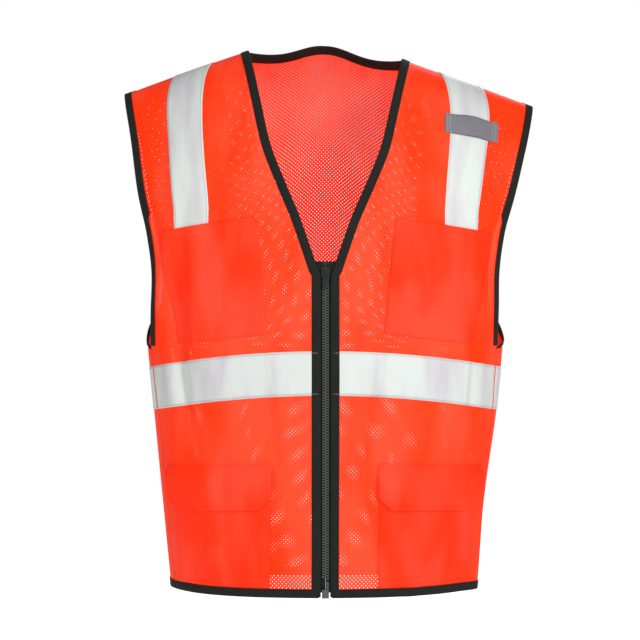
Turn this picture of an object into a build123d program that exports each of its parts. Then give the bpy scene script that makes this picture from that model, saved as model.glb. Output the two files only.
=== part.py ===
"""Sleeveless zipped safety vest in its worn shape.

Millimetres. +Z is up, the front faces -Y, the wearer's left is +X.
The origin is midway between the two points where the shoulder seams meet the neck.
"""

import math
import os

from build123d import *

os.makedirs("parts", exist_ok=True)

# Body of the vest
NECK_HALF = 95.0  # from the centre to the neck end of a shoulder seam
SHOULDER_SLOPE = 0.333  # fall of the shoulder per mm outwards
HEM_Z = -627.0
ARMHOLE_Z = -340.0  # bottom of the armholes, where the side seams start
SPLIT_Z = -190.0  # the fronts fold open below this height
WAIST_HALF = 212.0  # half width at the armhole bottom
HEM_HALF = 184.0
CHEST_SPREAD = 24.0  # further half width gained up to the shoulders
FRONT_DEEP, BACK_DEEP = 138.0, 120.0
FRONT_FALL, BACK_FALL = 200.0, 170.0  # height over which the depth is reached
BOXINESS = 0.08
SEAM_ANGLE = math.radians(74.0)  # side seams, from the centre front
BACK_NECK_RISE, BACK_NECK_DIP = 16.0, 4.0
SEAM_GAP = 0.0035  # half the gap at a side seam, as an angle
BACK_SHARE = 0.62  # share of the back's map that lies below the chest

# Layers, measured outwards from the middle of the mesh cloth
MESH_THICK = 0.6
BIND_OFF, BIND_THICK, BIND_WIDE = 2.0, 0.8, 9.0
TAPE_OFF, TAPE_THICK, TAPE_WIDE = 2.0, 0.6, 50.8
WAIST_TAPE_Z, WAIST_DROOP = -371.0, 20.0
SHOULDER_TAPE_X, SHOULDER_TAPE_WIDE = 152.5, 47.8  # at the shoulder line; width in the flat view
TAPE_BULGE, TAPE_INWARD, TAPE_BACK_Z = 9.0, 30.0, -337.0  # outwards in front, inwards at the back
TAB_X, TAB_LONG, TAB_Z, TAB_DROP, TAB_TALL = 136.0, 56.0, -83.0, 6.0, 22.1
TAB_OFF, TAB_BOW, TAB_THICK = 4.0, 5.0, 1.2
POCKET_OFF, POCKET_LOFT, POCKET_THICK = 1.8, 5.5, 0.6
LOOP_OFF, HOOK_OFF, FLAP_OFF = 9.0, 10.6, 12.2
FLAP_SEAM_OFF, FLAP_BEND = 1.9, 0.28  # at the flap's seam, and the share over which it rises
HOOK_THICK, HOOK_SPAN, HOOK_RISE = 0.8, (0.25, 0.75), (0.25, 0.55)  # shares of the flap
GAP = 0.5  # between neighbouring sheets

# Zip
ZIP_TOP_Z = -247.0
ZIP_END_Z = -621.0
FRONT_EDGE = 5.6  # fold of the front binding, from the centre
STRIP_START = FRONT_EDGE + 11.5  # hem binding and waist tape begin beside the front binding
STRIP_SHORT = 0.018  # and end this angle before the side seam
ZIP_TAPE_IN, ZIP_TAPE_WIDE, ZIP_TAPE_THICK = 3.8, 12.0, 0.5
ZIP_SINK = 1.9  # middle of the zip tape, inside the cloth
TOOTH_PITCH, TOOTH_HIGH, TOOTH_REACH, TOOTH_DEEP = 3.1, 1.7, 3.0, 2.6
TOOTH_TIP, CORE = 0.75, 0.8  # gap from the centre to the teeth, and width of their moulded core
TEETH_TOP, TEETH_FOOT = 5.0, 18.0  # bare lengths above and below the teeth
ZIP_TAPE_SPARE = 6.0  # tape above the top stops
SLIDER_WIDE, SLIDER_TALL, SLIDER_PLATE = 10.0, 12.0, 1.1
PULL_WIDE, PULL_TALL, PULL_THICK = 5.0, 20.0, 1.2
CHAIN_Y = -FRONT_DEEP + ZIP_SINK
SLIDER_Z = ZIP_TOP_Z - 8.5
PULL_Y = CHAIN_Y - (TOOTH_DEEP + 0.6) / 2 - SLIDER_PLATE - 0.95
PULL_Z = SLIDER_Z + 1.2

# Edges of the cut cloth as (half width, height) pairs
NECK_V = [(14, -249), (20, -226), (31, -193), (46, -159), (63.5, -117), (76, -66), (84.5, -29), (92, 0)]
ARMHOLE = [(203.8, -340), (203, -300), (202, -255), (207, -210), (216, -165), (224, -110), (235, -46.6)]
CHEST_POCKET = ((67, -326), (174.5, -338.5), (80, -193), (191, -208))
LOWER_POCKET = ((63, -616.5), (169, -616.5), (63, -487), (176, -490))
FLAP = ((61, -528), (181, -533), (62, -474), (183, -480))
FLAP_CLIP, FLAP_CUT = 0.27, 0.125  # shares of the flap's height and width taken by a cut corner


def lerp(a, b, t):
    return a + (b - a) * t


def smooth(t):
    t = min(max(t, 0.0), 1.0)
    return t * t * (3 - 2 * t)


def through(points, z):
    """Half width of a cut edge at height z, by a monotone cubic through its points."""
    pts = sorted(points, key=lambda p: p[1])
    z = min(max(z, pts[0][1]), pts[-1][1])
    k = max(i for i in range(len(pts) - 1) if pts[i][1] <= z)
    slopes = [(b[0] - a[0]) / (b[1] - a[1]) for a, b in zip(pts, pts[1:])]

    def tangent(i):
        if i in (0, len(pts) - 1):
            return slopes[0] if i == 0 else slopes[-1]
        return 0.5 * (slopes[i - 1] + slopes[i])

    (x0, z0), (x1, z1) = pts[k], pts[k + 1]
    span, t = z1 - z0, (z - z0) / (z1 - z0)
    start, end = tangent(k) * span, tangent(k + 1) * span
    return ((2 * t**3 - 3 * t**2 + 1) * x0 + (t**3 - 2 * t**2 + t) * start
            + (3 * t**2 - 2 * t**3) * x1 + (t**3 - t**2) * end)


def half_width(z):
    taper = (WAIST_HALF - HEM_HALF) / (ARMHOLE_Z - HEM_Z)
    return WAIST_HALF + (z - ARMHOLE_Z) * taper + CHEST_SPREAD * smooth((z - ARMHOLE_Z) / 200)


def ridge(x):
    return -(abs(x) - NECK_HALF) * SHOULDER_SLOPE


def turn_of(drop, fall):
    """Drop below the shoulder line as an angle along its rounded top."""
    if drop < fall:
        return math.acos(1 - max(drop, 0.0) / fall)
    return math.pi / 2 + (drop - fall) / fall


def drop_of(turn, fall):
    return fall * (1 - math.cos(turn)) if turn < math.pi / 2 else fall * (1 + turn - math.pi / 2)


def cloth(angle, z):
    """Point at an angle round the body, 0 at the centre back, pi at the centre front."""
    x = half_width(z) * math.sin(angle)
    front = math.cos(angle) < 0
    deep, fall = (FRONT_DEEP, FRONT_FALL) if front else (BACK_DEEP, BACK_FALL)
    rise = math.sin(min(turn_of(ridge(x) - z, fall), math.pi / 2))
    y = deep * rise * math.cos(angle) * (1 + BOXINESS * math.sin(angle) ** 2)
    return Vector(x, y, z)


def angle_at(x, z, front=True):
    turn = math.asin(max(-1.0, min(1.0, x / half_width(z))))
    return math.pi - turn if front else turn


def face_point(x, z, front=True):
    return cloth(angle_at(x, z, front), z)


def outward(place, u, v):
    """Unit normal of a mapped stretch of cloth, pointing away from the body."""
    step = 1e-3
    u0, u1 = max(u - step, 0.0), min(u + step, 1.0)
    v0, v1 = max(v - step, 0.0), min(v + step, 1.0)
    normal = (place(u1, v) - place(u0, v)).cross(place(u, v1) - place(u, v0)).normalized()
    at = place(u, v)
    away = at - Vector(0.6 * at.X, 0, at.Z - 60)
    return normal if normal.dot(away) > 0 else normal * -1


def sheet(place, off, thick, across=8, along=8, mirrored=False):
    """Closed thin solid over a four-sided stretch; off is a number or a function of u and v.

    A mirrored sheet has the same facets on its two halves.
    """
    lift = off if callable(off) else (lambda u, v: off)

    def skin(side):
        rows = []
        for j in range(along + 1):
            v = j / along
            marks = [(i / across, v) for i in range(across + 1)]
            rows.append([place(*m) + outward(place, *m) * (lift(*m) + side * thick / 2) for m in marks])
        return rows

    def tile(*marks):
        return Face(Wire.make_polygon(marks, close=True))

    outer, inner = skin(1), skin(-1)
    faces = []
    for j in range(along):
        for i in range(across):
            for rows in (outer, inner):
                a, b, c, d = rows[j][i], rows[j][i + 1], rows[j + 1][i + 1], rows[j + 1][i]
                if mirrored and 2 * i >= across:
                    faces += [tile(a, b, d), tile(b, c, d)]
                else:
                    faces += [tile(a, b, c), tile(a, c, d)]
    rim = [(0, i) for i in range(across)] + [(j, across) for j in range(along)]
    rim += [(along, i) for i in range(across, 0, -1)] + [(j, 0) for j in range(along, 0, -1)]
    for (j, i), (n, m) in zip(rim, rim[1:] + rim[:1]):
        a, b, c, d = outer[j][i], outer[n][m], inner[n][m], inner[j][i]
        faces += [tile(a, b, c), tile(a, c, d)]
    solid = Solid(Shell(faces))
    return solid if solid.volume > 0 else Solid(solid.wrapped.Reversed())


def edging(place, stations, start=0.0, end=1.0):
    """Binding along a cut edge. place(t, s) is the cloth s mm in from the edge at t."""
    return sheet(lambda u, v: place(lerp(start, end, v), BIND_WIDE * u), BIND_OFF, BIND_THICK, 1, stations)


def save(name, shape):
    export_step(shape, f"parts/{name}.step")


# Front panels -------------------------------------------------------------


def front_edge(z):
    """Cut edge of a front: straight beside the zip, then the V of the neck."""
    return max(through(NECK_V, z), FRONT_EDGE + 1.2) if z > NECK_V[0][1] else lerp(
        FRONT_EDGE + 1.2, NECK_V[0][0], smooth((z - NECK_V[0][1] + 26) / 26))


def lower_front(side):
    seam = math.pi - SEAM_ANGLE
    top = SPLIT_Z - GAP - 0.5

    def place(u, v):
        z = lerp(HEM_Z + 1, top, v)
        inner = angle_at(front_edge(z), z)
        hole = angle_at(through(ARMHOLE, z), z)
        outer = (hole if z > ARMHOLE_Z else seam) + SEAM_GAP
        return cloth(side * lerp(inner, outer, u), z)

    return sheet(place, 0.0, MESH_THICK, across=9, along=14)


def edge_at_turn(points, turn, fall):
    """Point of a cut edge at a given angle along the rounded shoulder."""
    low, high = min(p[1] for p in points), 0.0
    for _ in range(40):
        z = 0.5 * (low + high)
        x = through(points, z)
        if turn_of(ridge(x) - z, fall) > turn:
            low = z
        else:
            high = z
    return through(points, high), high


def yoke_place(side, front=True):
    """Map of one shoulder's yoke: u from neck to armhole, v from the chest up to the shoulder line."""
    fall = FRONT_FALL if front else BACK_FALL
    ends = [turn_of(ridge(through(pts, SPLIT_Z)) - SPLIT_Z, fall) for pts in (NECK_V, ARMHOLE)]

    def place(u, v):
        turns = [end * (1 - v) for end in ends]
        (x0, _), (x1, _) = (edge_at_turn(p, t, fall) for p, t in zip((NECK_V, ARMHOLE), turns))
        x = lerp(x0, x1, u)
        z = ridge(x) - drop_of(lerp(turns[0], turns[1], u), fall)
        return face_point(side * x, z, front)

    return place


# Back panel ---------------------------------------------------------------


def back_neck_z(x):
    t = min(abs(x) / NECK_HALF, 1.0)
    return BACK_NECK_RISE * (1 - smooth(t)) - BACK_NECK_DIP * math.sin(math.pi * t) ** 2


def back_side(z):
    """Angle of the back panel's side edge: the side seam, then the back of the armhole."""
    seam = math.pi - SEAM_ANGLE - SEAM_GAP
    if z <= ARMHOLE_Z:
        return seam
    hole = angle_at(through(ARMHOLE, z) - 4 * smooth((z - ARMHOLE_Z) / 60), z, front=False)
    return lerp(seam, hole, min(1.0, (z - ARMHOLE_Z) / 45) ** 0.6)


def back_place(u, v):
    """u runs from the wearer's right side seam to the left, v from the hem to the shoulders."""
    side = 2 * u - 1
    if v <= BACK_SHARE:
        z = lerp(HEM_Z + 1, SPLIT_Z, v / BACK_SHARE)
        return cloth(side * back_side(z), z)
    t = (v - BACK_SHARE) / (1 - BACK_SHARE)
    edge_turn = turn_of(ridge(through(ARMHOLE, SPLIT_Z)) - SPLIT_Z, BACK_FALL) * (1 - t)
    edge_x, edge_z = edge_at_turn(ARMHOLE, edge_turn, BACK_FALL)
    reach = back_side(edge_z)
    z = edge_z
    for _ in range(6):
        x = half_width(z) * math.sin(side * reach)
        start = turn_of(ridge(x) - SPLIT_Z, BACK_FALL)
        top = back_neck_z(x) if abs(x) < NECK_HALF else ridge(x)
        end = turn_of(ridge(x) - top, BACK_FALL)
        z = ridge(x) - drop_of(lerp(start, end, t), BACK_FALL)
    return face_point(x, z, front=False)


# Bindings -----------------------------------------------------------------


def hem_edge(low_angle, high_angle):
    def place(t, s):
        return cloth(lerp(low_angle, high_angle, t), HEM_Z + 1 + s)

    return place


def front_strip(side, low, high):
    """Binding along a front's inner edge between two heights."""

    def place(t, s):
        z = lerp(low, high, t)
        slope = front_edge(z + 0.5) - front_edge(z - 0.5)
        root = math.hypot(1, slope)
        z_in, x_in = z - s * slope / root, front_edge(z) + s / root
        return face_point(side * x_in, z_in)

    return place


def yoke_strip(side, outer):
    """Binding along the neck or armhole edge of a yoke."""
    place = yoke_place(side)

    def strip(t, s):
        edge = place(1.0 if outer else 0.0, t)
        step = place(0.97 if outer else 0.03, t)
        reach = (step - edge).length
        share = s / reach * 0.03
        return place(1 - share if outer else share, t)

    return strip


def armhole_low(side):
    """Front armhole edge below the yoke."""

    def place(t, s):
        z = lerp(ARMHOLE_Z + 14, SPLIT_Z - 2 * GAP, t)
        return face_point(side * (through(ARMHOLE, z) - s * 0.62), z)

    return place


def armhole_back(side):
    def place(t, s):
        u, v = (0.0 if side < 0 else 1.0), lerp(0.405, 1.0, t)
        edge = back_place(u, v)
        step = back_place(0.02 if side < 0 else 0.98, v)
        share = 0.02 * s / (step - edge).length
        return back_place(share if side < 0 else 1 - share, v)

    return place


def neck_back(t, s):
    x = lerp(-NECK_HALF + 9, NECK_HALF - 9, t)
    return face_point(x, back_neck_z(x) - 0.6 - s * 0.75, front=False)


# Tapes, tab and pockets ---------------------------------------------------


def waist_z(angle):
    return WAIST_TAPE_Z - WAIST_DROOP * math.sin(angle) ** 2


def waist_tape(start, end, across):
    def place(u, v):
        angle = lerp(start, end, u)
        return cloth(angle, waist_z(angle) + (v - 0.5) * TAPE_WIDE)

    return sheet(place, TAPE_OFF, TAPE_THICK, across, 1)


def shoulder_tape(side):
    """Silver tape from the chest over the shoulder to the back waist tape."""

    def place(u, v):
        half = (u - 0.5) * SHOULDER_TAPE_WIDE
        if v < 0.45:
            share = 1 - v / 0.45
            bulge = TAPE_BULGE * math.sin(math.pi * min(share * 1.1, 1.0)) + 2 * share
            x = SHOULDER_TAPE_X + bulge + half
            turn = turn_of(ridge(x) - SPLIT_Z, FRONT_FALL) * share
            return face_point(side * x, ridge(x) - drop_of(turn, FRONT_FALL))
        share = (v - 0.45) / 0.55
        x = SHOULDER_TAPE_X - TAPE_INWARD * smooth(share) + half
        turn = turn_of(ridge(x) - TAPE_BACK_Z, BACK_FALL) * share
        return face_point(side * x, ridge(x) - drop_of(turn, BACK_FALL), front=False)

    return sheet(place, TAPE_OFF, TAPE_THICK, 2, 22)


def mic_tab():
    """Webbing tab bowed over the wearer's left shoulder tape, sewn down at both ends."""

    def place(u, v):
        z = TAB_Z - TAB_DROP * (u - 0.5) + (v - 0.5) * TAB_TALL
        return face_point(TAB_X + TAB_LONG * u, z)

    return sheet(place, lambda u, v: TAB_OFF + TAB_BOW * math.sin(math.pi * u) ** 2, TAB_THICK, 8, 2)


def corners(marks, side):
    (ax, az), (bx, bz), (cx, cz), (dx, dz) = marks

    def place(u, v):
        x = lerp(lerp(ax, bx, u), lerp(cx, dx, u), v)
        z = lerp(lerp(az, bz, u), lerp(cz, dz, u), v)
        return face_point(side * x, z)

    return place


def pocket(marks, side):
    """Patch pocket: sewn down at its sides and bottom, open along its top."""

    def lift(u, v):
        return POCKET_OFF + POCKET_LOFT * (1 - (2 * u - 1) ** 6) * (1 - (1 - v) ** 8)

    return sheet(corners(marks, side), lift, POCKET_THICK, 10, 8)


def flap_place(side):
    place = corners(FLAP, side)

    def clipped(u, v):
        cut = FLAP_CUT * max(0.0, 1 - v / FLAP_CLIP)
        return place(lerp(cut, 1 - cut, u), v)

    return clipped


def flap_lift(u, v):
    return lerp(FLAP_SEAM_OFF, FLAP_OFF, smooth((1 - v) / FLAP_BEND))


def strip_on_flap(side, off):
    """Hook or loop strip across the middle of the flap, at its own height off the cloth."""
    place = corners(FLAP, side)
    return sheet(lambda u, v: place(lerp(*HOOK_SPAN, u), lerp(*HOOK_RISE, v)), off, HOOK_THICK, 4, 1)


# Zip ----------------------------------------------------------------------

def zip_tape(side):
    middle = side * (ZIP_TAPE_IN + ZIP_TAPE_WIDE / 2)
    top = ZIP_TOP_Z + ZIP_TAPE_SPARE
    strip = Box(ZIP_TAPE_WIDE, ZIP_TAPE_THICK, top - ZIP_END_Z)
    return Pos(middle, CHAIN_Y, (top + ZIP_END_Z) / 2) * strip


def zip_teeth(side):
    """One side's moulded teeth on their core, half a pitch apart on the two sides."""
    count = int((ZIP_TOP_Z - ZIP_END_Z - TEETH_FOOT) / TOOTH_PITCH)
    top = ZIP_TOP_Z - TEETH_TOP - (0.0 if side < 0 else TOOTH_PITCH / 2)
    tip, root = side * TOOTH_TIP, side * (TOOTH_TIP + TOOTH_REACH - CORE)
    outline = [(side * (TOOTH_TIP + TOOTH_REACH), top)]
    for k in range(count):
        z = top - k * TOOTH_PITCH
        outline += [(root, z), (tip, z - 0.2), (tip, z - TOOTH_HIGH + 0.2), (root, z - TOOTH_HIGH)]
    outline.append((side * (TOOTH_TIP + TOOTH_REACH), top - (count - 1) * TOOTH_PITCH - TOOTH_HIGH))
    face = Face(Wire.make_polygon([Vector(x, CHAIN_Y, z) for x, z in outline], close=True))
    return extrude(face, TOOTH_DEEP / 2, dir=(0, 1, 0), both=True)


def top_stop(side):
    middle = side * (TOOTH_TIP + TOOTH_REACH / 2)
    return Pos(middle, CHAIN_Y, ZIP_TOP_Z + 1.2) * Box(TOOTH_REACH, TOOTH_DEEP, 3.4)


def retainer_box():
    """Box at the foot of the zip, fixed to the wearer's right tape, with a socket for the pin."""
    high, wide, deep = 10.0, 8.0, 4.6
    shell = Box(wide, deep, high)
    shell -= Pos(-wide / 2, 0, 0) * Box(2.4, ZIP_TAPE_THICK + 0.3, high + 2)
    shell -= Pos(2.0, 0, 1.5) * Box(2.6, 3.0, high)
    shell -= Pos(3.6, 0, 1.5) * Box(3.0, ZIP_TAPE_THICK + 0.6, high)
    return Pos(-0.2, CHAIN_Y, ZIP_END_Z - 1.5) * shell


def insertion_pin():
    """Pin at the foot of the wearer's left tape; it stands in the box when the zip is closed."""
    pin = Pos(1.9, 0, 0) * Box(1.6, 2.2, 14.0) + Pos(3.15, 0, 0) * Box(1.2, ZIP_TAPE_THICK, 12.0)
    return Pos(0, CHAIN_Y, ZIP_END_Z + 5.6) * pin


def slider_body():
    """Two plates round the teeth, joined by a web at the top, with a bridge for the pull."""
    inner = TOOTH_DEEP + 0.6
    plate = Box(SLIDER_WIDE, SLIDER_PLATE, SLIDER_TALL)
    plate = fillet(plate.edges().filter_by(Axis.Y), 2.6)
    front = Pos(0, -(inner + SLIDER_PLATE) / 2, 0) * plate
    rear = Pos(0, (inner + SLIDER_PLATE) / 2, 0) * plate
    web = Pos(0, 0, SLIDER_TALL / 2 - 2.2) * Box(0.9, inner + 0.2, 4.0)
    body = front + rear + web
    lip = (inner - ZIP_TAPE_THICK - 0.9) / 2
    for side in (-1, 1):
        for face in (-1, 1):
            wall = Box(0.7, lip + 0.1, SLIDER_TALL - 5.2)
            body += Pos(side * (SLIDER_WIDE / 2 - 0.35), face * (inner - lip + 0.1) / 2, 0) * wall
    posts = Pos(0, -(inner / 2 + SLIDER_PLATE + 1.4), 0) * Box(2.0, 3.0, 8.0)
    hole = Pos(0, -(inner / 2 + SLIDER_PLATE + 0.95), 0) * Box(3.0, 1.9, 5.0)
    bridge = posts - hole
    return Pos(0, CHAIN_Y, SLIDER_Z) * (body + bridge)


def slider_pull():
    """Flat tab with a ring end that hangs from the slider's bridge."""
    tab = Pos(0, 0, -PULL_TALL / 2 + 0.6) * Box(PULL_WIDE, PULL_THICK, PULL_TALL)
    tab -= Pos(0, 0, -4.6) * Box(2.5, 4, 8.0)
    tab -= Pos(0, 0, -13.5) * Box(2.0, 4, 5.0)
    return Pos(0, PULL_Y, PULL_Z) * tab


# Writing ------------------------------------------------------------------


def write_side(name, side):
    seam = math.pi - SEAM_ANGLE
    save(f"{name}_front_panel", lower_front(side))
    save(f"{name}_front_yoke", sheet(yoke_place(side), 0.0, MESH_THICK, 6, 10))
    strip_top = SPLIT_Z - GAP - 0.5
    save(f"{name}_front_binding", edging(front_strip(side, HEM_Z + 1, strip_top), 14))
    save(f"{name}_neck_binding", edging(yoke_strip(side, False), 10, 0.0, 0.93))
    save(f"{name}_armhole_binding", edging(yoke_strip(side, True), 10, 0.0, 0.95))
    save(f"{name}_armhole_front_binding", edging(armhole_low(side), 6))
    save(f"{name}_armhole_back_binding", edging(armhole_back(side), 14, 0.0, 0.95))
    hem = hem_edge(side * angle_at(STRIP_START, HEM_Z), side * (seam + STRIP_SHORT))
    save(f"{name}_hem_binding", edging(hem, 10))
    tape = waist_tape(side * angle_at(STRIP_START, WAIST_TAPE_Z), side * (seam + STRIP_SHORT), 10)
    save(f"{name}_waist_tape", tape)
    save(f"{name}_shoulder_tape", shoulder_tape(side))
    save(f"{name}_chest_pocket", pocket(CHEST_POCKET, side))
    save(f"{name}_lower_pocket", pocket(LOWER_POCKET, side))
    save(f"{name}_pocket_flap", sheet(flap_place(side), flap_lift, POCKET_THICK, 7, 7))
    save(f"{name}_flap_hook", strip_on_flap(side, HOOK_OFF))
    save(f"{name}_pocket_loop", strip_on_flap(side, LOOP_OFF))
    save(f"{name}_zip_tape", zip_tape(side))
    save(f"{name}_zip_teeth", zip_teeth(side))
    save(f"{name}_top_stop", top_stop(side))


save("back_panel", sheet(back_place, 0.0, MESH_THICK, 24, 20, mirrored=True))
save("back_neck_binding", edging(neck_back, 12))
back_seam = math.pi - SEAM_ANGLE - SEAM_GAP
save("back_hem_binding", edging(hem_edge(-back_seam, back_seam), 24))
save("back_waist_tape", waist_tape(-back_seam, back_seam, 24))
save("mic_tab", mic_tab())
for label, side_sign in (("right", -1), ("left", 1)):
    write_side(label, side_sign)
save("retainer_box", retainer_box())
save("insertion_pin", insertion_pin())
save("slider_body", slider_body())
save("slider_pull", slider_pull())
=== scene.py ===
# %% [markdown]
# # High visibility vest
# A sleeveless zipped vest is flat cloth sewn into a shape that hangs on a body. Every cloth piece below is
# drawn on one shared map of that shape, so that layers follow each other exactly: panel, tape, pocket, flap.
# The rigid zip parts come ready made from the CAD frame.

# %% Load the frame
import math

import bmesh
import bpy
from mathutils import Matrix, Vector


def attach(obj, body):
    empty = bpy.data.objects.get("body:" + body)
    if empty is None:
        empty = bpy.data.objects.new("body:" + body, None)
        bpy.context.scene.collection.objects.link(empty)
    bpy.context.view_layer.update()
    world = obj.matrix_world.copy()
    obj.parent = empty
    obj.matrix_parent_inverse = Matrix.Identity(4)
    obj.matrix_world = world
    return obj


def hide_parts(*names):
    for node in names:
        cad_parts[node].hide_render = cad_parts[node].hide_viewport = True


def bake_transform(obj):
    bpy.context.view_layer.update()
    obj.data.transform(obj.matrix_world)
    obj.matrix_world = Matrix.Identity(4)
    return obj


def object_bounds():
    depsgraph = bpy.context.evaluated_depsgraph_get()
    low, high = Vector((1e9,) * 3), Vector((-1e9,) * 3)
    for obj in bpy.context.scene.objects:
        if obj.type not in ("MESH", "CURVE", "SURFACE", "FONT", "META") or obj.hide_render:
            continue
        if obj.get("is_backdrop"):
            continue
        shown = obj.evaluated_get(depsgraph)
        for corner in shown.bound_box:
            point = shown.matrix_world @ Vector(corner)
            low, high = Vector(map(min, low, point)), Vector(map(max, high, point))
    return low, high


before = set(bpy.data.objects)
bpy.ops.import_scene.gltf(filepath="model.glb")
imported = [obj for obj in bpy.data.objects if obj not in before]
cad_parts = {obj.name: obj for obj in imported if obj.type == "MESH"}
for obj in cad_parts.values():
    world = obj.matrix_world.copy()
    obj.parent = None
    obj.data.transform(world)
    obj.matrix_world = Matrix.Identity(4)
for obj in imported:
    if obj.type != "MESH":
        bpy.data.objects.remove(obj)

cad_low, cad_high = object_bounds()
MM = 0.001
print("cad box", cad_low, cad_high)

# %% [markdown]
# ## Sizes
# The vest is cut to a few driving sizes, in millimetres. The silver tape is the usual two inches wide.

# %% Driving sizes
NECK_HALF, SHOULDER_SLOPE = 95.0, 0.333
HEM_Z, ARMHOLE_Z, CHEST_Z = -627.0, -340.0, -190.0
WAIST_HALF, HEM_HALF, CHEST_SPREAD = 212.0, 184.0, 24.0
FRONT_DEEP, BACK_DEEP = 138.0, 120.0
FRONT_FALL, BACK_FALL = 200.0, 170.0
BOXINESS = 0.08
SEAM = math.pi - math.radians(74.0)  # angle of a side seam, from the centre back
CLEAR = 0.012  # angle by which trims stop short of a side seam
TAPE_WIDE = 50.8
WAIST_TAPE_Z, WAIST_DROOP = -371.0, 20.0
FRONT_EDGE, ZIP_TOP_Z, ZIP_END_Z = 5.6, -247.0, -621.0
NECK_V = [(11.5, -248), (19, -226), (31, -193), (46, -159), (63.5, -117), (76, -66), (84.5, -29), (92, 0)]
ARMHOLE = [(203.8, -340), (203, -300), (202, -255), (207, -210), (216, -165), (224, -110), (235, -46.6)]
CHEST_POCKET = ((67, -326), (174.5, -338.5), (80, -193), (191, -208))
LOWER_POCKET = ((63, -616), (172, -616), (63, -487), (180, -490))
FLAP = ((61, -527), (183, -532), (62, -474), (185, -480))
LEAN = [(6, -235), (10, -95), (0, 95), (-9, 235)]  # rise of the shoulders, which hang unevenly, and x

# %% [markdown]
# ## The map of the cloth
# A horizontal slice of the body is a boxy ellipse, and the shoulders are a rounded ridge. Folds are soft
# ridges and valleys added along the normal, so every layer carries the same fold.


# %% Body shape
def lerp(a, b, t):
    return a + (b - a) * t


def smooth(t):
    t = min(max(t, 0.0), 1.0)
    return t * t * (3 - 2 * t)


def through(points, z):
    """Half width of a cut edge at height z, by a cubic through its points."""
    pts = sorted(points, key=lambda p: p[1])
    z = min(max(z, pts[0][1]), pts[-1][1])
    k = max(i for i in range(len(pts) - 1) if pts[i][1] <= z)
    slopes = [(b[0] - a[0]) / (b[1] - a[1]) for a, b in zip(pts, pts[1:])]
    tangents = [slopes[0]] + [0.5 * (a + b) for a, b in zip(slopes, slopes[1:])] + [slopes[-1]]
    (x0, z0), (x1, z1) = pts[k], pts[k + 1]
    span, t = z1 - z0, (z - z0) / (z1 - z0)
    return ((2 * t**3 - 3 * t**2 + 1) * x0 + (t**3 - 2 * t**2 + t) * tangents[k] * span
            + (3 * t**2 - 2 * t**3) * x1 + (t**3 - t**2) * tangents[k + 1] * span)


def half_width(z):
    taper = (WAIST_HALF - HEM_HALF) / (ARMHOLE_Z - HEM_Z)
    return WAIST_HALF + (z - ARMHOLE_Z) * taper + CHEST_SPREAD * smooth((z - ARMHOLE_Z) / 200)


def ridge(x):
    return -(abs(x) - NECK_HALF) * SHOULDER_SLOPE


def turn_of(drop, fall):
    if drop < fall:
        return math.acos(1 - max(drop, 0.0) / fall)
    return math.pi / 2 + (drop - fall) / fall


def drop_of(turn, fall):
    return fall * (1 - math.cos(turn)) if turn < math.pi / 2 else fall * (1 + turn - math.pi / 2)


def body(angle, z):
    """Point of the body at an angle from the centre back, in millimetres."""
    x = half_width(z) * math.sin(angle)
    front = math.cos(angle) < 0
    deep, fall = (FRONT_DEEP, FRONT_FALL) if front else (BACK_DEEP, BACK_FALL)
    rise = math.sin(min(turn_of(ridge(x) - z, fall), math.pi / 2))
    return Vector((x, deep * rise * math.cos(angle) * (1 + BOXINESS * math.sin(angle) ** 2), z))


def angle_at(x, z, front=True):
    turn = math.asin(max(-1.0, min(1.0, x / half_width(z))))
    return math.pi - turn if front else turn


# %% [markdown]
# Each fold is a named soft ridge (positive) or valley (negative): where its middle is, how long and wide it
# is, how it leans, and how high it stands. Front folds use x and z on the front, back folds on the back.

# %% Folds
FOLD_GAIN = 1.8
# (x, z, half length, half width, lean in degrees from vertical, height)
FRONT_FOLDS = [
    (-168, -265, 95, 13, 4, -5.0), (-148, -285, 90, 11, -6, 3.0), (-186, -250, 55, 9, 10, 3.0),
    (-120, -230, 60, 12, 14, 2.0), (-98, -300, 34, 11, 48, -2.4), (-108, -318, 26, 9, 40, 2.2),
    (-165, -385, 55, 6, -8, -3.5), (-178, -392, 48, 9, -8, 2.2), (-120, -400, 60, 15, 20, 1.6),
    (-118, -500, 70, 10, -2, -2.6), (-98, -560, 48, 12, 20, -2.6), (-128, -560, 50, 9, -6, 2.0),
    (-150, -590, 34, 9, 24, -2.2), (-40, -440, 90, 13, 26, -2.2), (-46, -570, 60, 12, -18, 2.0),
    (-60, -420, 50, 9, 36, 1.6), (-120, -140, 70, 14, 16, -2.4), (-190, -130, 60, 12, 6, -2.4),
    (100, -262, 30, 9, 60, -2.4), (96, -308, 30, 9, 55, -2.2), (128, -260, 60, 9, 12, -2.2),
    (150, -275, 44, 10, -34, -2.6), (158, -312, 26, 9, -50, -2.2), (140, -235, 50, 9, -12, 2.2),
    (116, -290, 44, 8, 34, 1.8), (172, -385, 60, 6, 5, -2.8), (160, -392, 60, 9, 8, 1.6),
    (60, -415, 62, 12, -34, -2.2), (96, -455, 60, 12, -24, 1.8), (110, -500, 50, 8, 4, -2.2),
    (96, -555, 60, 13, 36, -2.6), (140, -560, 46, 11, -10, -2.4), (40, -520, 90, 12, 30, -1.8),
    (112, -600, 40, 8, 22, 2.2), (60, -130, 60, 12, -20, -1.8), (190, -130, 60, 12, -8, -2.4),
    (120, -150, 60, 12, -20, 2.0),
]
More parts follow.
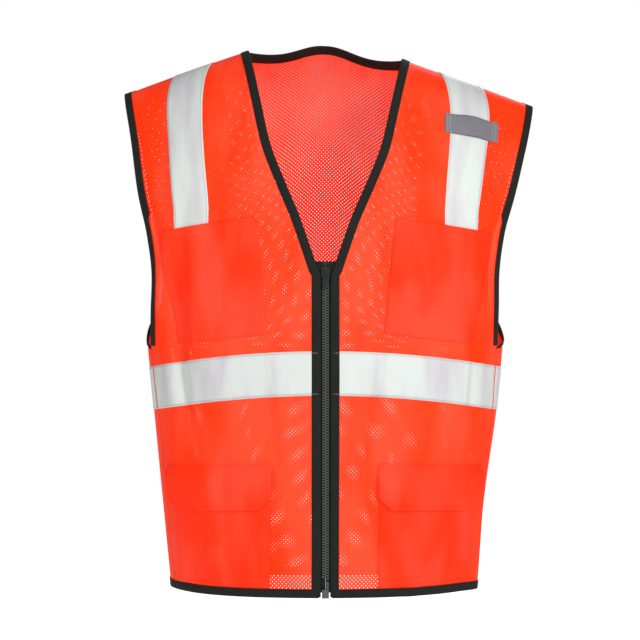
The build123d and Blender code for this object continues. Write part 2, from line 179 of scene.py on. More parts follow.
BACK_FOLDS = [
    (-120, -230, 110, 18, 10, -4.0), (-60, -120, 80, 16, 30, 2.5), (10, -60, 70, 18, 70, -2.5),
    (60, -140, 80, 16, -28, 2.5), (130, -240, 110, 18, -8, -4.0), (-80, -480, 110, 16, -6, 4.0),
    (-30, -500, 100, 14, 4, -3.5), (40, -490, 110, 16, -3, 4.0), (90, -510, 90, 14, 8, -3.5),
    (-140, -520, 90, 14, 6, -3.5), (150, -500, 90, 14, -8, 3.0),
]


def fold_height(angle, z, x):
    front = math.cos(angle) < 0
    total = 0.0
    for cx, cz, long, wide, lean, high in (FRONT_FOLDS if front else BACK_FOLDS):
        tilt = math.radians(lean)
        dx, dz = x - cx, z - cz
        along = dz * math.cos(tilt) + dx * math.sin(tilt)
        across = dx * math.cos(tilt) - dz * math.sin(tilt)
        if abs(along) < 2.4 * long and abs(across) < 3 * wide:
            total += high * math.exp(-(along / long) ** 2 * 1.2 - (across / wide) ** 2)
    total += 0.9 * math.sin(x * 0.031 + z * 0.013) * math.sin(z * 0.021 - x * 0.008 + 1.0)
    calm = smooth((abs(x) - 16) / 34) if front else 1.0
    side = smooth(abs(math.cos(angle)) / 0.30)
    return FOLD_GAIN * total * calm * side * smooth((ridge(x) - z) / 60)


SEAM_Y = body(SEAM, HEM_Z).y


def leaned(at):
    """The vest as it hangs: its shoulders are uneven and its foot swings a little to one side."""
    up = smooth((at.z + 260) / 230)
    wide = 12 * smooth((at.x - 95) / 130) if at.x > 0 else -4 * smooth((-at.x - 95) / 130)
    off_seam = smooth(abs(at.y - SEAM_Y) / 30)  # the side seam stays on its line, where the front turns
    foot = -9 * max(at.x, 0) / HEM_HALF * smooth((-at.z - 400) / 200) * off_seam
    return at + Vector((wide * up + foot, 0, through(LEAN, at.x) * up))


def on_cloth(angle, z, off=0.0):
    """Point off millimetres out from the folded cloth."""
    at = body(angle, z)
    du = body(angle + 2e-3, z) - body(angle - 2e-3, z)
    dv = body(angle, z + 0.4) - body(angle, z - 0.4)
    normal = du.cross(dv)
    if normal.length < 1e-9:
        return leaned(at)
    normal.normalize()
    if normal.dot(at - Vector((0.6 * at.x, 0, at.z - 60))) < 0:
        normal.negate()
    return leaned(at + normal * (off + fold_height(angle, z, at.x)))


# %% [markdown]
# ## From the map to a mesh
# A piece of cloth is a grid on the map. Its UV map is the cloth's own length and width in metres, so that a
# knit or a row of holes keeps its real size. Solidify gives the cloth its thickness.

# %% Grid pieces
def grid_piece(name, place, across, along, thick, material, closed=False):
    """place(u, v) gives a point in millimetres; returns a plain thick mesh object."""
    points = [[place(i / across, j / along) * MM for i in range(across + 1)] for j in range(along + 1)]
    mesh = bpy.data.meshes.new(name)
    verts = [p for row in points for p in row]
    width = across + 1
    faces = [(j * width + i, j * width + i + 1, (j + 1) * width + i + 1, (j + 1) * width + i)
             for j in range(along) for i in range(across)]
    mesh.from_pydata(verts, [], faces)
    runs = []
    for row in points:
        run = [0.0]
        for a, b in zip(row, row[1:]):
            run.append(run[-1] + (b - a).length)
        half = run[-1] / 2
        runs.append([r - half for r in run])
    rise = [[0.0] * width]
    for low, high in zip(points, points[1:]):
        rise.append([r + (b - a).length for r, a, b in zip(rise[-1], low, high)])
    layer = mesh.uv_layers.new(name="cloth")
    for loop in mesh.loops:
        j, i = divmod(loop.vertex_index, width)
        layer.data[loop.index].uv = (runs[j][i], rise[j][i])
    middle = mesh.polygons[len(mesh.polygons) // 2]
    away = middle.center - Vector((0.6 * middle.center.x, 0, middle.center.z - 0.06))
    if middle.normal.dot(away) < 0:
        mesh.flip_normals()
    for face in mesh.polygons:
        face.use_smooth = True
    piece = bpy.data.objects.new(name, mesh)
    bpy.context.collection.objects.link(piece)
    mesh.materials.append(material)
    area = sum(face.area for face in mesh.polygons)
    flat = (sum(r[-1] - r[0] for r in runs) / len(runs), sum(rise[-1]) / width)
    wall = piece.modifiers.new("thickness", "SOLIDIFY")
    wall.thickness = thick * MM
    wall.offset = 0
    wall.use_even_offset = True
    bake(piece)
    piece["area"] = area
    piece["flat"] = flat
    print(name, "faces", len(piece.data.polygons), "flat", [round(f, 3) for f in flat])
    return piece


def bake(piece):
    """Turn the evaluated piece into a plain mesh and drop its modifiers."""
    graph = bpy.context.evaluated_depsgraph_get()
    made = bpy.data.meshes.new_from_object(piece.evaluated_get(graph))
    piece.modifiers.clear()
    old = piece.data
    piece.data = made
    bpy.data.meshes.remove(old)


def declare(piece):
    """Round a cloth piece's flat size, as it was cut, to the millimetre."""
    width, length = (round(size, 3) for size in piece["flat"])


# %% [markdown]
# ## Finishes
# Small effects shared by several finishes are node groups: a field of punched holes, a knit, and a rib. They
# read the cloth's own UV map in metres. The shader itself stays in each material.

# %% Shader node groups
def new_group(name, inputs, outputs):
    group = bpy.data.node_groups.new(name, "ShaderNodeTree")
    for label, value in inputs:
        group.interface.new_socket(label, in_out="INPUT", socket_type="NodeSocketFloat").default_value = value
    for label in outputs:
        group.interface.new_socket(label, in_out="OUTPUT", socket_type="NodeSocketFloat")
    nodes = group.nodes
    return group, nodes.new("NodeGroupInput"), nodes.new("NodeGroupOutput")


def math_node(tree, kind, *values):
    node = tree.nodes.new("ShaderNodeMath")
    node.operation = kind
    for socket, value in zip(node.inputs, values):
        if isinstance(value, (int, float)):
            socket.default_value = value
        else:
            tree.links.new(value, socket)
    return node.outputs[0]


def cloth_coords(tree):
    uv = tree.nodes.new("ShaderNodeUVMap")
    uv.uv_map = "cloth"
    split = tree.nodes.new("ShaderNodeSeparateXYZ")
    tree.links.new(uv.outputs[0], split.inputs[0])
    return uv.outputs[0], split.outputs[0], split.outputs[1]


def holes_group():
    """1 on the cloth, 0 in a hole; holes in staggered rows."""
    group, given, out = new_group("punched holes", [("Across", 0.0046), ("Rows", 0.0023), ("Hole", 0.0006)],
                                  ["Cloth", "Rim"])
    _, x, y = cloth_coords(group)
    row = math_node(group, "FLOOR", math_node(group, "DIVIDE", y, given.outputs["Rows"]))
    odd = math_node(group, "MODULO", row, 2.0)
    shifted = math_node(group, "ADD", math_node(group, "DIVIDE", x, given.outputs["Across"]),
                        math_node(group, "MULTIPLY", odd, 0.5))
    dx = math_node(group, "MULTIPLY", math_node(group, "SUBTRACT", math_node(group, "FRACT", shifted), 0.5),
                   given.outputs["Across"])
    fy = math_node(group, "FRACT", math_node(group, "DIVIDE", y, given.outputs["Rows"]))
    dy = math_node(group, "MULTIPLY", math_node(group, "SUBTRACT", fy, 0.5), given.outputs["Rows"])
    far = math_node(group, "SQRT", math_node(group, "ADD", math_node(group, "MULTIPLY", dx, dx),
                                             math_node(group, "MULTIPLY", dy, dy)))
    group.links.new(math_node(group, "GREATER_THAN", far, given.outputs["Hole"]), out.inputs["Cloth"])
    rim = math_node(group, "SUBTRACT", 1.0, math_node(
        group, "MINIMUM", math_node(group, "DIVIDE", far, math_node(
            group, "MULTIPLY", given.outputs["Hole"], 2.2)), 1.0))
    group.links.new(rim, out.inputs["Rim"])
    return group


def knit_group():
    """Fine knit: a height from crossed waves and a slow blotchy tone."""
    group, given, out = new_group("fine knit", [("Pitch", 0.0008), ("Blotch", 18.0)], ["Height", "Tone"])
    coords, x, y = cloth_coords(group)
    turn = math_node(group, "DIVIDE", 2 * math.pi, given.outputs["Pitch"])
    warp = math_node(group, "SINE", math_node(group, "MULTIPLY", x, turn))
    weft = math_node(group, "SINE", math_node(group, "MULTIPLY", y, turn))
    group.links.new(math_node(group, "MULTIPLY", warp, weft), out.inputs["Height"])
    cloud = group.nodes.new("ShaderNodeTexNoise")
    group.links.new(coords, cloud.inputs["Vector"])
    group.links.new(given.outputs["Blotch"], cloud.inputs["Scale"])
    group.links.new(cloud.outputs[0], out.inputs["Tone"])
    return group


def rib_group():
    group, given, out = new_group("ribs", [("Pitch", 0.0013), ("Turn", 0.0)], ["Height"])
    _, x, y = cloth_coords(group)
    across = math_node(group, "MULTIPLY", x, math_node(group, "SUBTRACT", 1.0, given.outputs["Turn"]))
    mixed = math_node(group, "ADD", across, math_node(group, "MULTIPLY", y, given.outputs["Turn"]))
    wave = math_node(group, "SINE", math_node(group, "MULTIPLY", mixed, math_node(
        group, "DIVIDE", 2 * math.pi, given.outputs["Pitch"])))
    group.links.new(wave, out.inputs["Height"])
    return group


def streak_group():
    """Soft darker streaks that run across a tape."""
    group, given, out = new_group("soft creases", [("Along", 26.0), ("Across", 5.0)], ["Tone"])
    _, x, y = cloth_coords(group)
    joined = group.nodes.new("ShaderNodeCombineXYZ")
    group.links.new(math_node(group, "MULTIPLY", x, given.outputs["Along"]), joined.inputs[0])
    group.links.new(math_node(group, "MULTIPLY", y, given.outputs["Across"]), joined.inputs[1])
    cloud = group.nodes.new("ShaderNodeTexNoise")
    cloud.inputs["Scale"].default_value = 1.0
    cloud.inputs["Detail"].default_value = 3.0
    group.links.new(joined.outputs[0], cloud.inputs["Vector"])
    sharp = math_node(group, "MULTIPLY_ADD", cloud.outputs[0], 4.5, -1.35)
    clamped = math_node(group, "MINIMUM", math_node(group, "MAXIMUM", sharp, 0.0), 1.0)
    group.links.new(clamped, out.inputs["Tone"])
    return group


def painted_sheen_and_shade_group():
    """Painted light on the orange cloth: 0 for a painted sheen in the pale middle of the front, 1 for painted
    shade at the sides and in broad uneven bands.
    """
    group, given, out = new_group("dye depth", [("Middle", 0.02), ("Sides", 0.19), ("Bands", 11.0)], ["Deep"])
    spot = group.nodes.new("ShaderNodeTexCoord")
    split = group.nodes.new("ShaderNodeSeparateXYZ")
    group.links.new(spot.outputs["Object"], split.inputs[0])
    # painted shade grows towards the sides of the body, and a painted sheen stays in the middle of the front
    out_x = math_node(group, "ABSOLUTE", split.outputs[0])
    side = math_node(group, "DIVIDE", math_node(group, "SUBTRACT", out_x, given.outputs["Middle"]),
                     math_node(group, "SUBTRACT", given.outputs["Sides"], given.outputs["Middle"]))
    joined = group.nodes.new("ShaderNodeCombineXYZ")
    group.links.new(math_node(group, "MULTIPLY", split.outputs[0], 2.2), joined.inputs[0])
    group.links.new(split.outputs[1], joined.inputs[1])
    group.links.new(math_node(group, "MULTIPLY", split.outputs[2], 0.8), joined.inputs[2])
    cloud = group.nodes.new("ShaderNodeTexNoise")
    group.links.new(joined.outputs[0], cloud.inputs["Vector"])
    group.links.new(given.outputs["Bands"], cloud.inputs["Scale"])
    # broad uneven bands of painted fold shade
    shade_bands = math_node(group, "MULTIPLY_ADD", cloud.outputs[0], 3.8, -1.75)
    total = math_node(group, "ADD", math_node(group, "MULTIPLY", side, 0.75), shade_bands)
    group.links.new(math_node(group, "MINIMUM", math_node(group, "MAXIMUM", total, 0.0), 1.0),
                    out.inputs["Deep"])
    return group


# painted sheen in the middle of the front, painted shade at the sides and in bands, from object x
PAINTED_SHEEN_AND_SHADE = painted_sheen_and_shade_group()
HOLES, KNIT, RIBS, STREAKS = holes_group(), knit_group(), rib_group(), streak_group()


# %% [markdown]
# ## Materials
# Fluorescent dye gives back more visible light than falls on it, so the orange cloth also glows a little.

# %% Cloth materials
def cloth_material(name, dark, light, group, height_name, rough, bump, glow=0.0, sheen=0.0, holes=False,
                   streaks=False, **values):
    material = bpy.data.materials.new(name)
    material.use_nodes = True
    tree = material.node_tree
    shader = tree.nodes["Principled BSDF"]
    shader.inputs["Roughness"].default_value = rough
    shader.inputs["Sheen Weight"].default_value = sheen
    shader.inputs["Specular IOR Level"].default_value = 0.14 if glow else 0.3
    pattern = tree.nodes.new("ShaderNodeGroup")
    pattern.node_tree = group
    for key, value in values.items():
        pattern.inputs[key].default_value = value
    tone = tree.nodes.new("ShaderNodeGroup")
    tone.node_tree = KNIT
    mix = tree.nodes.new("ShaderNodeMix")
    mix.data_type = "RGBA"
    mix.inputs[6].default_value = (*dark, 1)
    mix.inputs[7].default_value = (*light, 1)
    share = tone.outputs["Tone"]
    if streaks:
        folds = tree.nodes.new("ShaderNodeGroup")
        folds.node_tree = STREAKS
        share = folds.outputs["Tone"]
    # with glow the mix runs from painted shade (the dark colour, at the sides and in bands) to a painted
    # sheen (the light colour, in the middle of the front), and the glow takes the same colours
    if glow:
        sheen_and_shade = tree.nodes.new("ShaderNodeGroup")
        sheen_and_shade.node_tree = PAINTED_SHEEN_AND_SHADE
        share = math_node(tree, "SUBTRACT", 1.0, sheen_and_shade.outputs["Deep"])
    tree.links.new(share, mix.inputs[0])
    tree.links.new(mix.outputs[2], shader.inputs["Base Color"])
    height = pattern.outputs[height_name]
    if glow:
        tree.links.new(mix.outputs[2], shader.inputs["Emission Color"])
        shader.inputs["Emission Strength"].default_value = glow
    if holes:
        punched = tree.nodes.new("ShaderNodeGroup")
        punched.node_tree = HOLES
        tree.links.new(punched.outputs["Cloth"], shader.inputs["Alpha"])
        rim = tree.nodes.new("ShaderNodeMath")
        rim.operation = "MULTIPLY_ADD"
        rim.inputs[1].default_value = -2.0
        tree.links.new(punched.outputs["Rim"], rim.inputs[0])
        tree.links.new(height, rim.inputs[2])
        height = rim.outputs[0]
    relief = tree.nodes.new("ShaderNodeBump")
    relief.inputs["Distance"].default_value = bump
    relief.inputs["Strength"].default_value = 0.6
    tree.links.new(height, relief.inputs["Height"])
    tree.links.new(relief.outputs[0], shader.inputs["Normal"])
    return material


# orange cloth, pocket knit and thread: the light colour is a painted sheen for the middle of the front, the
# dark colour painted shade for the sides and fold bands
MESH = cloth_material("mesh cloth", (1.0, 0.036, 0.0), (1.0, 0.068, 0.024), KNIT, "Height", 0.5, 0.0001,
                      glow=0.16, holes=True)
PLAIN = cloth_material("pocket knit", (1.0, 0.026, 0.0), (1.0, 0.056, 0.024), KNIT, "Height", 0.5, 0.00008,
                       glow=0.16, Pitch=0.0006)
BINDING = cloth_material("binding", (0.004, 0.006, 0.004), (0.009, 0.012, 0.009), RIBS, "Height", 0.85,
                         0.00008, Pitch=0.0012, Turn=1.0)
TAPE = cloth_material("silver tape", (0.52, 0.47, 0.52), (0.64, 0.68, 0.65), KNIT, "Height", 0.5, 0.00002,
                      streaks=True, Pitch=0.0005)
WEBBING = cloth_material("grey webbing", (0.16, 0.15, 0.17), (0.27, 0.26, 0.29), RIBS, "Height", 0.8,
                         0.0006, Pitch=0.0017)
ZIP_CLOTH = cloth_material("zip tape", (0.004, 0.006, 0.004), (0.010, 0.013, 0.010), RIBS, "Height", 0.85,
                           0.0001, Pitch=0.0009)
THREAD = cloth_material("thread", (1.0, 0.03, 0.004), (1.0, 0.06, 0.015), KNIT, "Height", 0.6, 0.00002,
                        glow=0.1)
GREY_THREAD = cloth_material("tape thread", (0.40, 0.41, 0.41), (0.5, 0.5, 0.5), KNIT, "Height", 0.6, 0.00002)
BLACK_THREAD = cloth_material("black thread", (0.012, 0.014, 0.012), (0.02, 0.024, 0.02), KNIT, "Height", 0.6,
                              0.00002)


# %% Hard materials
def hard_material(name, color, rough, grain):
    material = bpy.data.materials.new(name)
    material.use_nodes = True
    tree = material.node_tree
    shader = tree.nodes["Principled BSDF"]
    coords = tree.nodes.new("ShaderNodeTexCoord")
    cloud = tree.nodes.new("ShaderNodeTexNoise")
    cloud.inputs["Scale"].default_value = grain
    tree.links.new(coords.outputs["Object"], cloud.inputs["Vector"])
    mix = tree.nodes.new("ShaderNodeMix")
    mix.data_type = "RGBA"
    mix.inputs[6].default_value = (*color, 1)
    mix.inputs[7].default_value = (*[c * 1.8 for c in color], 1)
    tree.links.new(cloud.outputs[0], mix.inputs[0])
    tree.links.new(mix.outputs[2], shader.inputs["Base Color"])
    shader.inputs["Roughness"].default_value = rough
    relief = tree.nodes.new("ShaderNodeBump")
    relief.inputs["Distance"].default_value = 0.00005
    tree.links.new(cloud.outputs[0], relief.inputs["Height"])
    tree.links.new(relief.outputs[0], shader.inputs["Normal"])
    return material


TEETH = hard_material("moulded teeth", (0.05, 0.056, 0.05), 0.22, 900)
ENAMEL = hard_material("black enamel", (0.010, 0.012, 0.010), 0.3, 400)
for node in ("slider_body", "slider_pull", "retainer_box", "insertion_pin", "right_top_stop",
             "left_top_stop"):
    piece = bpy.data.objects[node]
    finish = ENAMEL if "slider" in node or "stop" in node else TEETH
    if not piece.material_slots:
        piece.data.materials.append(finish)
    for place_slot in piece.material_slots:
        place_slot.material = finish

# %% [markdown]
# ## Back panel
# One piece of mesh cloth from side seam to side seam and up to the shoulders. Its map runs across by angle
# and up by height, and its top follows the back neck between the two shoulder seams.


# %% Back panel
def edge_at_turn(points, turn, fall):
    low, high = min(p[1] for p in points), 0.0
    for _ in range(30):
        z = 0.5 * (low + high)
        if turn_of(ridge(through(points, z)) - z, fall) > turn:
            low = z
        else:
            high = z
    return through(points, high), high


def back_neck_z(x):
    t = min(abs(x) / NECK_HALF, 1.0)
    return 16.0 * (1 - smooth(t)) - 4.0 * math.sin(math.pi * t) ** 2


def back_side(z):
    if z <= ARMHOLE_Z:
        return SEAM
    hole = angle_at(through(ARMHOLE, z) - 4 * smooth((z - ARMHOLE_Z) / 60), z, front=False)
    return lerp(SEAM, hole, min(1.0, (z - ARMHOLE_Z) / 45) ** 0.4)


BACK_SHARE = 0.62  # share of the map below chest height
EDGE_TURN = turn_of(ridge(through(ARMHOLE, CHEST_Z)) - CHEST_Z, BACK_FALL)


def back_spot(side, v):
    """Angle and height on the back; side runs -1 to 1, v from the hem to the shoulders."""
    if v <= BACK_SHARE:
        z = lerp(HEM_Z + 1, CHEST_Z, v / BACK_SHARE)
        return side * back_side(z), z
    t = (v - BACK_SHARE) / (1 - BACK_SHARE)
    _, edge_z = edge_at_turn(ARMHOLE, EDGE_TURN * (1 - t), BACK_FALL)
    reach = back_side(edge_z)
    z = edge_z
    for _ in range(5):
        x = half_width(z) * math.sin(side * reach)
        top = back_neck_z(x) if abs(x) < NECK_HALF else ridge(x)
        turn = lerp(turn_of(ridge(x) - CHEST_Z, BACK_FALL), turn_of(ridge(x) - top, BACK_FALL), t)
        z = ridge(x) - drop_of(turn, BACK_FALL)
    return angle_at(x, z, front=False), z


back_cloth = grid_piece("back_cloth", lambda u, v: on_cloth(*back_spot(2 * u - 1, v)), 110, 110, 0.6, MESH)
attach(back_cloth, "vest")
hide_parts("back_panel")
declare(back_cloth)

# %% [markdown]
# ## Front panels
# Each front is one piece from hem to shoulder.


# %% Front panels
def front_edge(z):
    if z > NECK_V[0][1]:
        return max(through(NECK_V, z), FRONT_EDGE + 1.2)
    return lerp(FRONT_EDGE + 1.2, NECK_V[0][0], smooth((z - NECK_V[0][1] + 11) / 11))


def outer_edge(z):
    if z > ARMHOLE_Z:
        return through(ARMHOLE, z)
    return half_width(z) * math.sin(SEAM)


FRONT_TURNS = [turn_of(ridge(through(pts, CHEST_Z)) - CHEST_Z, FRONT_FALL) for pts in (NECK_V, ARMHOLE)]


def front_spot(u, v):
    """x and z on a front; u from the zip edge to the side, v from the hem to the shoulder."""
    share = 0.66
    if v <= share:
        z = lerp(HEM_Z + 1, CHEST_Z, v / share)
        return lerp(front_edge(z), outer_edge(z), u), z
    turns = [end * (1 - (v - share) / (1 - share)) for end in FRONT_TURNS]
    (x0, _), (x1, _) = (edge_at_turn(p, t, FRONT_FALL) for p, t in zip((NECK_V, ARMHOLE), turns))
    x = lerp(x0, x1, u)
    return x, ridge(x) - drop_of(lerp(turns[0], turns[1], u), FRONT_FALL)


def on_front(side, x, z, off=0.0):
    return on_cloth(angle_at(side * x, z), z, off)


def blend_front(piece):
    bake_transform(piece)


SIDES = (("right", -1), ("left", 1))
for name, side in SIDES:
    panel = grid_piece(f"{name}_front_cloth", lambda u, v: on_front(side, *front_spot(u, v)), 64, 150, 0.6,
                       MESH)
    blend_front(panel)
    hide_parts(f"{name}_front_panel", f"{name}_front_yoke")
    declare(panel)

# %% [markdown]
# ## Edge bindings
# Bias tape is folded over each raw edge. Its section is a narrow U: flat on both faces of the cloth and round
# at the fold. place(t, s, off) gives the cloth s mm in from the edge, lifted by off.

# %% Bindings
U_SECTION = ((9.0, 0.95), (6.0, 1.05), (3.0, 1.1), (0.6, 1.15), (-0.6, 0.8), (-1.0, 0.0), (-0.6, -0.8),
             (0.6, -1.15), (3.0, -1.1), (6.0, -1.05), (9.0, -0.95))


def binding(label, place, along):
    """A folded strip along an edge; place(t, s, off)."""
    count = len(U_SECTION) - 1

    def spot(u, v):
        s, off = U_SECTION[round(u * count)]
        return place(v, s, off)

    strip = grid_piece(label, spot, count, along, 0.45, BINDING)
    return strip


def front_binding_place(side):
    turns_top = FRONT_TURNS[0]

    def place(t, s, off):
        share = 0.62
        if t < share:
            z = lerp(HEM_Z + 1, CHEST_Z, t / share)
            slope = front_edge(z + 0.5) - front_edge(z - 0.5)
        else:
            _, z = edge_at_turn(NECK_V, turns_top * (1 - (t - share) / (1 - share)), FRONT_FALL)
            slope = through(NECK_V, z + 0.5) - through(NECK_V, z - 0.5)
        root = math.hypot(1, slope)
        x = (front_edge(z) if t < share else through(NECK_V, z)) + s / root
        z = min(z - s * slope / root, ridge(x))
        return on_front(side, x, z, off)

    return place


def armhole_front_place(side):
    def place(t, s, off):
        if t < 0.45:
            z = lerp(ARMHOLE_Z, CHEST_Z, t / 0.45)
            return on_front(side, through(ARMHOLE, z) - s * 0.6, z, off)
        turn = FRONT_TURNS[1] * (1 - (t - 0.45) / 0.55)
        x, z = edge_at_turn(ARMHOLE, turn, FRONT_FALL)
        x_in = x - s * 0.85
        return on_front(side, x_in, ridge(x_in) - drop_of(turn, FRONT_FALL), off)

    return place


def armhole_back_place(side):
    def place(t, s, off):
        v = lerp(0.402, 1.0, t)
        edge = back_spot(side, v)
        step = back_spot(side * 0.96, v)
        reach = (on_cloth(*step) - on_cloth(*edge)).length
        return on_cloth(*back_spot(side * (1 - 0.04 * s / max(reach, 1e-6)), v), off)

    return place


def neck_back_place(t, s, off):
    x = lerp(-NECK_HALF, NECK_HALF, t)
    z = back_neck_z(x) - s * 0.8
    return on_cloth(angle_at(x, z, front=False), z, off)


def hem_place(low, high):
    def place(t, s, off):
        return on_cloth(lerp(low, high, t), HEM_Z + 1 + s, off)

    return place


for name, side in SIDES:
    strip = binding(f"{name}_front_edge_binding", front_binding_place(side), 150)
    blend_front(strip)
    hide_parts(f"{name}_front_binding", f"{name}_neck_binding")
    declare(strip)
    strip = binding(f"{name}_armhole_edge_binding", armhole_front_place(side), 80)
    blend_front(strip)
    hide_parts(f"{name}_armhole_binding", f"{name}_armhole_front_binding")
    declare(strip)
    strip = binding(f"{name}_armhole_rear_binding", armhole_back_place(side), 90)
    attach(strip, "vest")
    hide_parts(f"{name}_armhole_back_binding")
    declare(strip)
    low = angle_at(side * (FRONT_EDGE + 2), HEM_Z)
    low = low if side > 0 else low - 2 * math.pi
    strip = binding(f"{name}_hem_edge_binding", hem_place(low, side * (SEAM + CLEAR)), 60)
    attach(strip, f"front_{name}")
    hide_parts(f"{name}_hem_binding")
    declare(strip)
strip = binding("back_neck_edge_binding", neck_back_place, 70)
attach(strip, "vest")
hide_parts("back_neck_binding")
declare(strip)
strip = binding("back_hem_edge_binding", hem_place(-SEAM, SEAM), 110)
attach(strip, "vest")
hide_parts("back_hem_binding")
declare(strip)

# %% [markdown]
# ## Silver tapes
# Glass-bead tape lies on the cloth and is sewn along both edges. The waist tape is in three lengths, cut at
# the side seams and the zip, and each shoulder tape runs from the chest pocket over the shoulder to the back.


# %% Tapes
def waist_z(angle):
    return WAIST_TAPE_Z - WAIST_DROOP * math.sin(angle) ** 2


def waist_piece(label, start, end, across):
    def place(u, v):
        angle = lerp(start, end, u)
        return on_cloth(angle, waist_z(angle) + (v - 0.5) * TAPE_WIDE, 0.75)

    return grid_piece(label, place, across, 12, 0.35, TAPE)


def shoulder_spot(side, u, share, front):
    half = (u - 0.5) * lerp(44, 39, share)
    if front:
        x = 152.5 + 9 * math.sin(math.pi * min(share * 1.1, 1.0)) + 2 * share + half
        turn = turn_of(ridge(x) + 212, FRONT_FALL) * share
        return side * x, ridge(x) - drop_of(turn, FRONT_FALL)
    x = 152.5 - 30 * smooth(share) + half
    turn = turn_of(ridge(x) + 348, BACK_FALL) * share
    return side * x, ridge(x) - drop_of(turn, BACK_FALL)


def shoulder_piece(label, side, front):
    def place(u, v):
        x, z = shoulder_spot(side, u, v, front)
        return on_cloth(angle_at(x, z, front=front), z, 0.75)

    return grid_piece(label, place, 14, 60, 0.35, TAPE)


for name, side in SIDES:
    start = angle_at(side * (FRONT_EDGE + 3), WAIST_TAPE_Z)
    start = start if side > 0 else start - 2 * math.pi
    tape = waist_piece(f"{name}_waist_silver", start, side * (SEAM + CLEAR), 60)
    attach(tape, f"front_{name}")
    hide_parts(f"{name}_waist_tape")
    declare(tape)
    tape = shoulder_piece(f"{name}_shoulder_silver", side, True)
    blend_front(tape)
    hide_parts(f"{name}_shoulder_tape")
    declare(tape)
    tape = shoulder_piece(f"{name}_back_silver", side, False)
    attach(tape, "vest")
    declare(tape)
tape = waist_piece("back_waist_silver", -SEAM + CLEAR, SEAM - CLEAR, 120)
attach(tape, "vest")
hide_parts("back_waist_tape")
declare(tape)

# %% [markdown]
# ## Mic tab
# A short length of ribbed webbing sewn across the wearer's left shoulder tape at both ends, with its middle
# left free so that a clip can be pushed under it.


# %% Mic tab
def tab_place(u, v):
    x = 135.5 + 57 * u
    z = -83 - 7 * (u - 0.5) + (v - 0.5) * 25.4 * 0.9
    return on_front(1, x, z, 1.6 + 3.2 * math.sin(math.pi * min(max((u - 0.1) / 0.8, 0), 1)) ** 2)


tab = grid_piece("mic_tab_webbing", tab_place, 60, 10, 1.1, WEBBING)
blend_front(tab)
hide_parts("mic_tab")
declare(tab)

# %% [markdown]
# ## Pockets and flaps
# A patch pocket is sewn down at its sides and bottom and stands a little off the panel in the middle. The
# flap is double cloth with its lower corners cut off; it hangs from a seam just above the pocket's mouth.


# %% Pockets
def corner_spot(marks, u, v):
    (ax, az), (bx, bz), (cx, cz), (dx, dz) = marks
    return lerp(lerp(ax, bx, u), lerp(cx, dx, u), v), lerp(lerp(az, bz, u), lerp(cz, dz, u), v)


def pocket_lift(u, v, loft):
    return 1.0 + loft * (1 - (2 * u - 1) ** 6) * (1 - (1 - v) ** 8)


def pocket_place(side, marks, loft):
    return lambda u, v: on_front(side, *corner_spot(marks, u, v), pocket_lift(u, v, loft))


FLAP_CLIP, FLAP_SLANT = 0.27, 0.125


def flap_spot(u, v):
    cut = FLAP_SLANT * max(0.0, 1 - v / FLAP_CLIP)
    return corner_spot(FLAP, lerp(cut, 1 - cut, u), v)


def flap_place(side):
    def place(u, v):
        lift = lerp(1.2, 6.2, smooth((1 - v) / 0.3))
        return on_front(side, *flap_spot(u, v), lift)

    return place


for name, side in SIDES:
    pocket = grid_piece(f"{name}_chest_pocket_cloth", pocket_place(side, CHEST_POCKET, 1.6), 48, 56, 0.6,
                        PLAIN)
    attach(pocket, f"front_{name}")
    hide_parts(f"{name}_chest_pocket")
    declare(pocket)
    pocket = grid_piece(f"{name}_lower_pocket_cloth", pocket_place(side, LOWER_POCKET, 2.4), 48, 52, 0.6,
                        PLAIN)
    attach(pocket, f"front_{name}")
    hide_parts(f"{name}_lower_pocket")
    declare(pocket)
    flap = grid_piece(f"{name}_flap_cloth", flap_place(side), 56, 40, 1.2, PLAIN)
    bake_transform(flap)
    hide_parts(f"{name}_pocket_flap")
    declare(flap)
    for label, lift, rider, node in (("hook", 5.1, f"flap_{name}", f"{name}_flap_hook"),
                                     ("loop", 4.2, f"front_{name}", f"{name}_pocket_loop")):
        def patch_place(u, v):
            return on_front(side, *corner_spot(FLAP, lerp(0.25, 0.75, u), lerp(0.2, 0.5, v)), lift)

        patch = grid_piece(f"{name}_{label}_patch", patch_place, 20, 6, 0.6, PLAIN)
        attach(patch, rider)
        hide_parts(node)
        declare(patch)

# %% [markdown]
# ## Zip
# The woven tapes lie behind the front bindings. Each side's teeth are one tooth repeated down the tape with
# Geometry Nodes, half a pitch apart on the two sides, so that they mesh when the zip is closed.

# %% Zip tapes
CHAIN_Y = -FRONT_DEEP + 1.9
TOOTH_PITCH = 3.1
for name, side in SIDES:
    def tape_place(u, v):
        return Vector((side * lerp(0.1, 15.8, u), CHAIN_Y + 0.3, lerp(ZIP_END_Z, ZIP_TOP_Z + 4, v)))

    ribbon = grid_piece(f"{name}_zip_cloth", tape_place, 6, 40, 0.5, ZIP_CLOTH)
    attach(ribbon, f"front_{name}")
    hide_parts(f"{name}_zip_tape")
    declare(ribbon)


# %% Teeth
def one_tooth(side):
    """A moulded tooth: block on the tape, neck, and a rounded head that reaches past the centre."""
    profile = [(3.9, 0.85), (2.2, 0.85), (1.5, 0.55), (0.9, 0.6), (0.2, 0.95), (-0.4, 0.95), (-0.8, 0.5)]
    outline = [(side * x, z) for x, z in profile] + [(side * x, -z) for x, z in reversed(profile)]
    count = len(outline)
    verts = [Vector((x, y, z)) * MM for y in (-1.3, 1.3) for x, z in outline]
    faces = [tuple(range(count)), tuple(range(2 * count - 1, count - 1, -1))]
    faces += [(i, i + count, (i + 1) % count + count, (i + 1) % count) for i in range(count)]
    mesh = bpy.data.meshes.new("tooth")
    mesh.from_pydata(verts, [], faces)
    return faced_outwards(mesh)


def faced_outwards(mesh):
    work = bmesh.new()
    work.from_mesh(mesh)
    bmesh.ops.recalc_face_normals(work, faces=work.faces)
    work.to_mesh(mesh)
    work.free()
    return bpy.data.objects.new(mesh.name, mesh)


